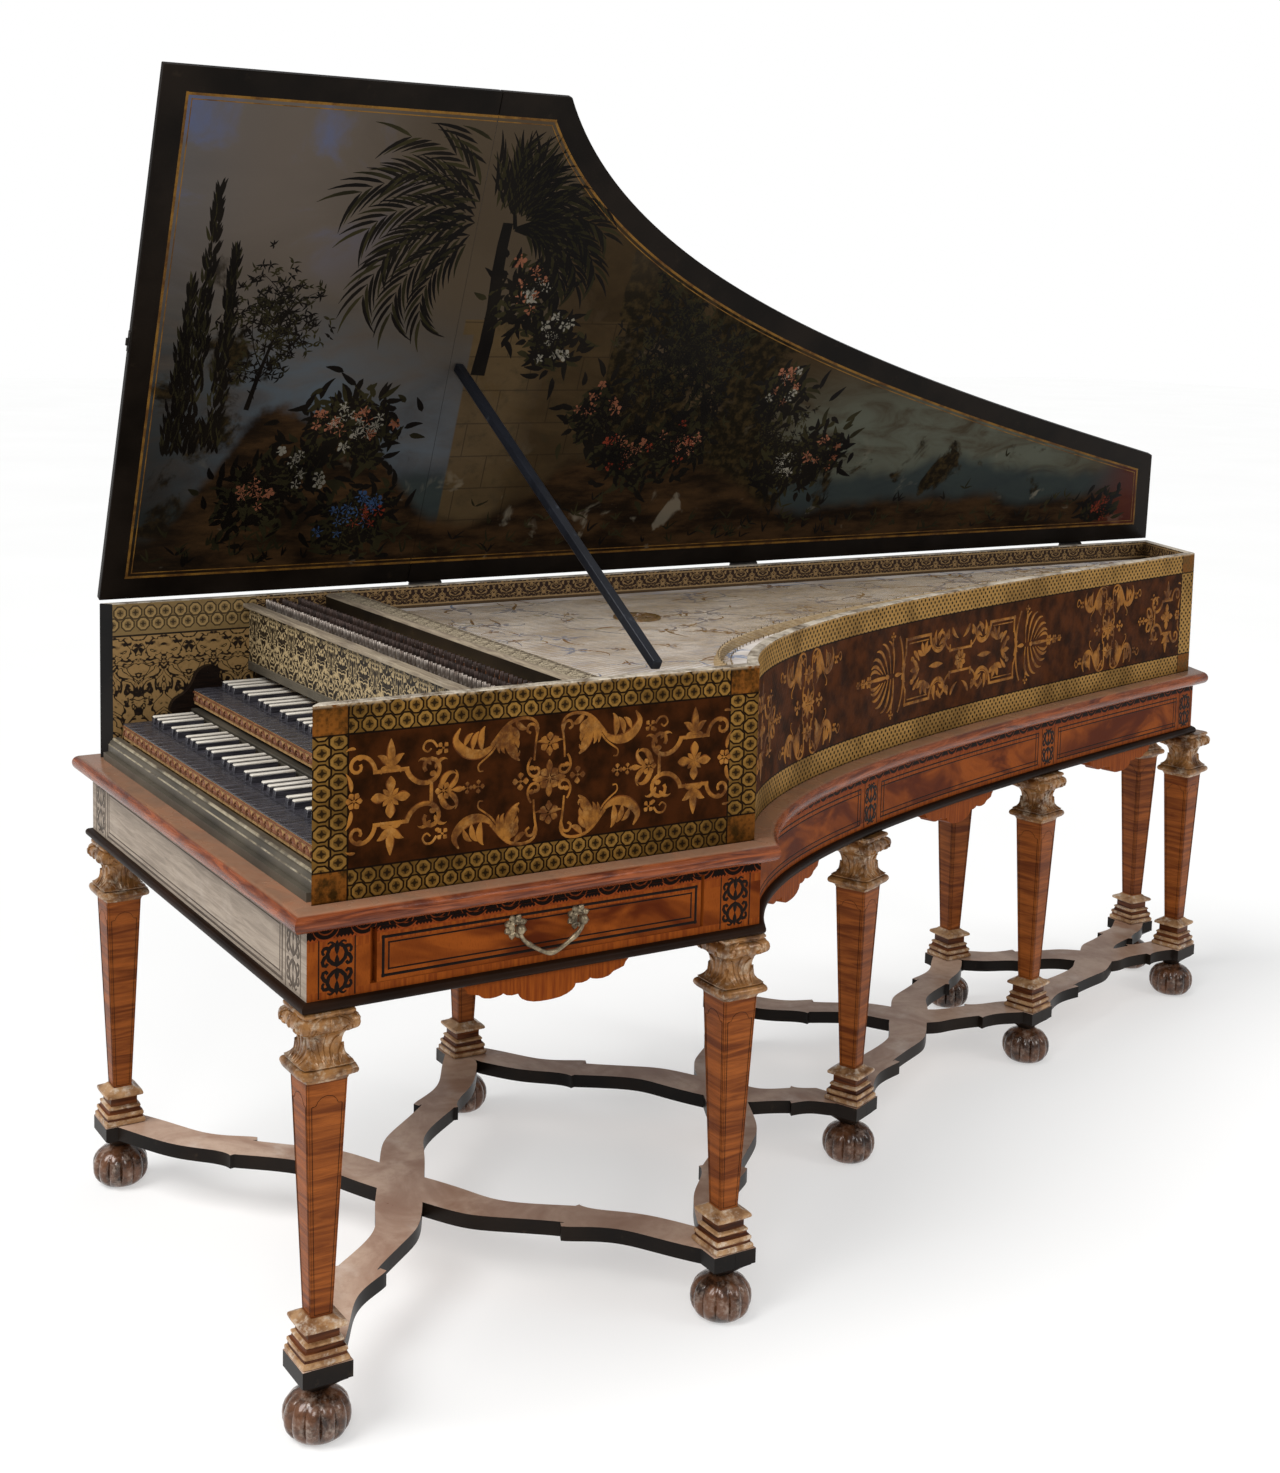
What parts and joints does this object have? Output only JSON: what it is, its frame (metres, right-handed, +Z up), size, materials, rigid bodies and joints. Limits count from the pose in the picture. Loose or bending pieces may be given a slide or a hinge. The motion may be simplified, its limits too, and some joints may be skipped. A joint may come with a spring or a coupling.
{
  "type": "harpsichord",
  "caption": "Wing-shaped double-manual harpsichord with painted case and lid, on an inlaid walnut stand with tapered legs, ball feet and curved cross stretchers.",
  "frame": {"origin": "centre of the floor footprint of the whole instrument with its stand", "axes": "+X from the spine to the cheek (towards the treble), +Y from the keyboards to the tail, +Z up"},
  "size_m": [0.953, 2.4378, 1.7862],
  "materials": {
    "case_black": "black paint, worn satin",
    "case_painted": "dark brown ground with gold ornament, aged varnish",
    "lid_painting": "dark oil painting in a black border, varnished",
    "walnut_veneer": "figured walnut veneer with dark inlay, polished",
    "gilt_wood": "worn gilding over carved wood",
    "red_moulding": "cross-grain veneered half-round, glossy",
    "stretcher_veneer": "red-brown veneer with black edges, worn",
    "soundboard_wood": "old spruce with faded painted flowers, matt",
    "raw_wood": "plain aged softwood",
    "bridge_wood": "walnut, oiled",
    "key_wood": "ebony naturals with bone-topped sharps",
    "jack_wood": "pearwood, plain",
    "stick_paint": "dark blue-black paint",
    "brass": "aged cast brass",
    "iron": "black wrought iron"
  },
  "bodies": {
    "root": {"spine": "case_black", "cheek": "case_painted", "bentside": "case_painted", "tail": "case_painted", "case_bottom": "raw_wood", "soundboard": "soundboard_wood", "belly_rail": "raw_wood", "bridge": "bridge_wood", "nameboard": "case_painted", "wrestplank": "raw_wood", "jackrail": "case_black", "lower_keyframe": "raw_wood", "key_slip": "gilt_wood", "register": "raw_wood", "rail_front": "walnut_veneer", "rail_cheek": "walnut_veneer", "rail_bentside": "walnut_veneer", "rail_tail": "walnut_veneer", "rail_spine": "walnut_veneer", "top_moulding": "red_moulding", "base_moulding": "case_black", "leg_cheek_front": "walnut_veneer", "leg_cheek_back": "walnut_veneer", "leg_bent_front": "walnut_veneer", "leg_bent_back": "walnut_veneer", "leg_tail": "walnut_veneer", "leg_spine_front": "walnut_veneer", "leg_spine_second": "walnut_veneer", "leg_spine_middle": "walnut_veneer", "leg_spine_fourth": "walnut_veneer", "leg_spine_back": "walnut_veneer", "foot_cheek_front": "gilt_wood", "foot_cheek_back": "gilt_wood", "foot_bent_front": "gilt_wood", "foot_bent_back": "gilt_wood", "foot_tail": "gilt_wood", "foot_spine_front": "gilt_wood", "foot_spine_second": "gilt_wood", "foot_spine_middle": "gilt_wood", "foot_spine_fourth": "gilt_wood", "foot_spine_back": "gilt_wood", "stretcher_front": "stretcher_veneer", "stretcher_second": "stretcher_veneer", "stretcher_third": "stretcher_veneer", "stretcher_back": "stretcher_veneer", "drawer_runners": "raw_wood"},
    "lid": {"lid_main": "lid_painting", "lid_hinge_front": "iron", "lid_hinge_middle": "iron", "lid_hinge_back": "iron", "flap_hinge": "iron"},
    "flap": {"lid_flap": "lid_painting"},
    "stick": {"lid_stick": "stick_paint"},
    "drawer": {"drawer": "walnut_veneer"},
    "bail": {"drawer_bail": "brass"},
    "lower_manual": {"lower_keys": "key_wood"},
    "upper_frame": {"upper_keyframe": "raw_wood"},
    "upper_manual": {"upper_keys": "key_wood"},
    "lower_jacks": {"jacks_lower": "jack_wood"},
    "upper_jacks": {"jacks_upper": "jack_wood"}
  },
  "joints": [
    {"name": "lid_turn", "type": "hinge", "parent": "root", "child": "lid", "pos_m": [-0.444, 0, 0.961], "axis": [0, -1, 0], "range_deg": [-68.1, 0]},
    {"name": "flap_turn", "type": "hinge", "parent": "lid", "child": "flap", "pos_m": [-0.29379, -0.63739, 1.37915], "axis": [-0.373, 0, -0.9278], "range_deg": [0, 178]},
    {"name": "stick_swing", "type": "hinge", "parent": "root", "child": "stick", "pos_m": [0.498, -0.66, 0.847], "axis": [0, -1, 0], "range_deg": [-212, 0]},
    {"name": "drawer_slide", "type": "slide", "parent": "root", "child": "drawer", "axis": [1, 0, 0], "range_m": [0, 0.3]},
    {"name": "bail_turn", "type": "hinge", "parent": "drawer", "child": "bail", "pos_m": [0.464, -0.85239, 0.6442], "axis": [0, -1, 0], "range_deg": [-8, 100]},
    {"name": "lower_keys_dip", "type": "hinge", "parent": "root", "child": "lower_manual", "pos_m": [0, -0.96739, 0.75], "axis": [1, 0, 0], "range_deg": [0, 2.2], "stiffness_Nm_per_rad": 60, "springref_deg": -1.72},
    {"name": "coupler_slide", "type": "slide", "parent": "root", "child": "upper_frame", "axis": [0, 1, 0], "range_m": [0, 0.006]},
    {"name": "upper_keys_dip", "type": "hinge", "parent": "upper_frame", "child": "upper_manual", "pos_m": [0, -0.89739, 0.797], "axis": [1, 0, 0], "range_deg": [0, 2.9], "stiffness_Nm_per_rad": 60, "springref_deg": -1.72},
    {"name": "lower_jacks_rise", "type": "slide", "parent": "root", "child": "lower_jacks", "axis": [0, 0, 1], "range_m": [0, 0.0085]},
    {"name": "upper_jacks_rise", "type": "slide", "parent": "root", "child": "upper_jacks", "axis": [0, 0, 1], "range_m": [0, 0.006]}
  ],
  "couplings": [
    {"joint": "stick_swing", "follows": "lid_turn", "ratio": 3.1116},
    {"joint": "lower_jacks_rise", "follows": "lower_keys_dip", "m_per_rad": 0.209},
    {"joint": "upper_jacks_rise", "follows": "upper_keys_dip", "m_per_rad": 0.111}
  ]
}
